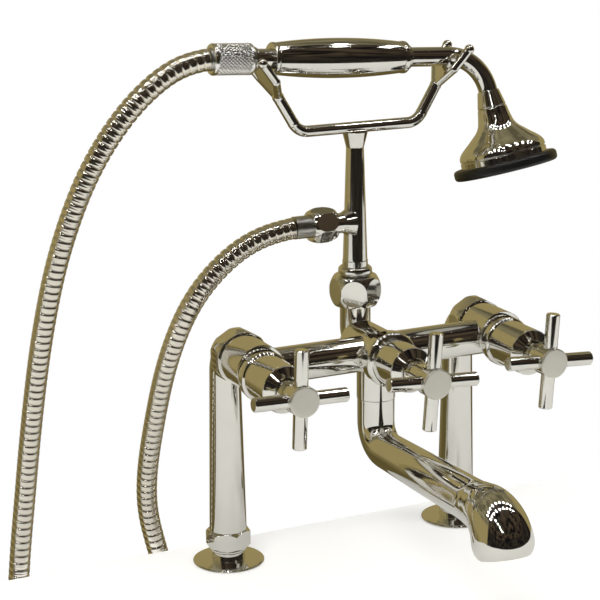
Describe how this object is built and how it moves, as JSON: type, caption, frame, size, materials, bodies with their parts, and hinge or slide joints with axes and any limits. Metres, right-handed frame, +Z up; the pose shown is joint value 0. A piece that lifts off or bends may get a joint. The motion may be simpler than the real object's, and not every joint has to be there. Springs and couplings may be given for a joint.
{
  "type": "bath shower mixer",
  "caption": "Deck-mounted chrome bath shower mixer with cross handles, a swivelling spout, and a hand shower on a hose resting in a forked cradle.",
  "frame": {"origin": "on the deck surface, midway between the axes of the two legs", "axes": "+Z up out of the deck, -Y towards the bather (the handles and spout face -Y), +X to the right (the hand shower's head is on the +X side)"},
  "size_m": [0.3783, 0.2838, 0.5866],
  "materials": {
    "chrome": "polished",
    "knurled_chrome": "fine diamond knurl",
    "cap_chrome": "flat, satin",
    "hose_steel": "bright ribbed strip",
    "steel": "plain",
    "brass": "as turned",
    "rubber": "matte black",
    "fibre": "pressed fibre",
    "white_plastic": "moulded"
  },
  "bodies": {
    "fixed": {"hot_flange": "chrome", "cold_flange": "chrome", "hot_base_nut": "chrome", "cold_base_nut": "chrome", "hot_leg": "chrome", "cold_leg": "chrome", "hot_shank": "brass", "cold_shank": "brass", "foot_washers": "fibre", "deck_washers": "white_plastic", "back_nuts": "brass", "hot_union_nut": "chrome", "cold_union_nut": "chrome", "union_washers": "fibre", "mixer_body": "chrome", "hot_bonnet": "chrome", "cold_bonnet": "chrome", "diverter_bonnet": "chrome", "hot_cartridge": "brass", "cold_cartridge": "brass", "diverter_cartridge": "brass", "spout_screw": "steel", "column_nut": "chrome", "column_ring": "chrome", "column_washer": "fibre", "column": "chrome", "cradle": "chrome", "hose_nut": "chrome", "lower_ferrule": "chrome", "lower_hose_washer": "fibre", "shower_hose": "hose_steel"},
    "hot_cross": {"hot_handle": "chrome", "hot_screw": "steel", "hot_cap": "cap_chrome", "hot_spindle": "brass"},
    "cold_cross": {"cold_handle": "chrome", "cold_screw": "steel", "cold_cap": "cap_chrome", "cold_spindle": "brass"},
    "diverter_cross": {"diverter_handle": "chrome", "diverter_screw": "steel", "diverter_cap": "cap_chrome", "diverter_spindle": "brass"},
    "swivel_spout": {"spout": "chrome", "spout_seals": "rubber", "outlet_grid": "white_plastic"},
    "hand_shower": {"upper_ferrule": "chrome", "hose_coupling": "knurled_chrome", "upper_hose_washer": "fibre", "handset_pipe": "chrome", "grip": "chrome", "rear_grip_ring": "chrome", "front_grip_ring": "chrome", "bell": "chrome", "spray_plate": "steel", "bumper": "rubber"}
  },
  "joints": [
    {"name": "hot_turn", "type": "hinge", "parent": "fixed", "child": "hot_cross", "pos_m": [-0.089, -0.12, 0.148], "axis": [0, -1, 0], "range_deg": [0, 90]},
    {"name": "cold_turn", "type": "hinge", "parent": "fixed", "child": "cold_cross", "pos_m": [0.089, -0.12, 0.148], "axis": [0, -1, 0], "range_deg": [-90, 0]},
    {"name": "diverter_turn", "type": "hinge", "parent": "fixed", "child": "diverter_cross", "pos_m": [0, -0.12, 0.148], "axis": [0, -1, 0], "range_deg": [0, 90]},
    {"name": "spout_swivel", "type": "hinge", "parent": "fixed", "child": "swivel_spout", "pos_m": [0, -0.04605, 0.12], "axis": [0, 0, 1], "range_deg": [-60, 60]},
    {"name": "handset_lift", "type": "slide", "parent": "fixed", "child": "hand_shower", "axis": [0, 0, 1], "range_m": [0, 0.05], "deforming": ["shower_hose"]}
  ]
}
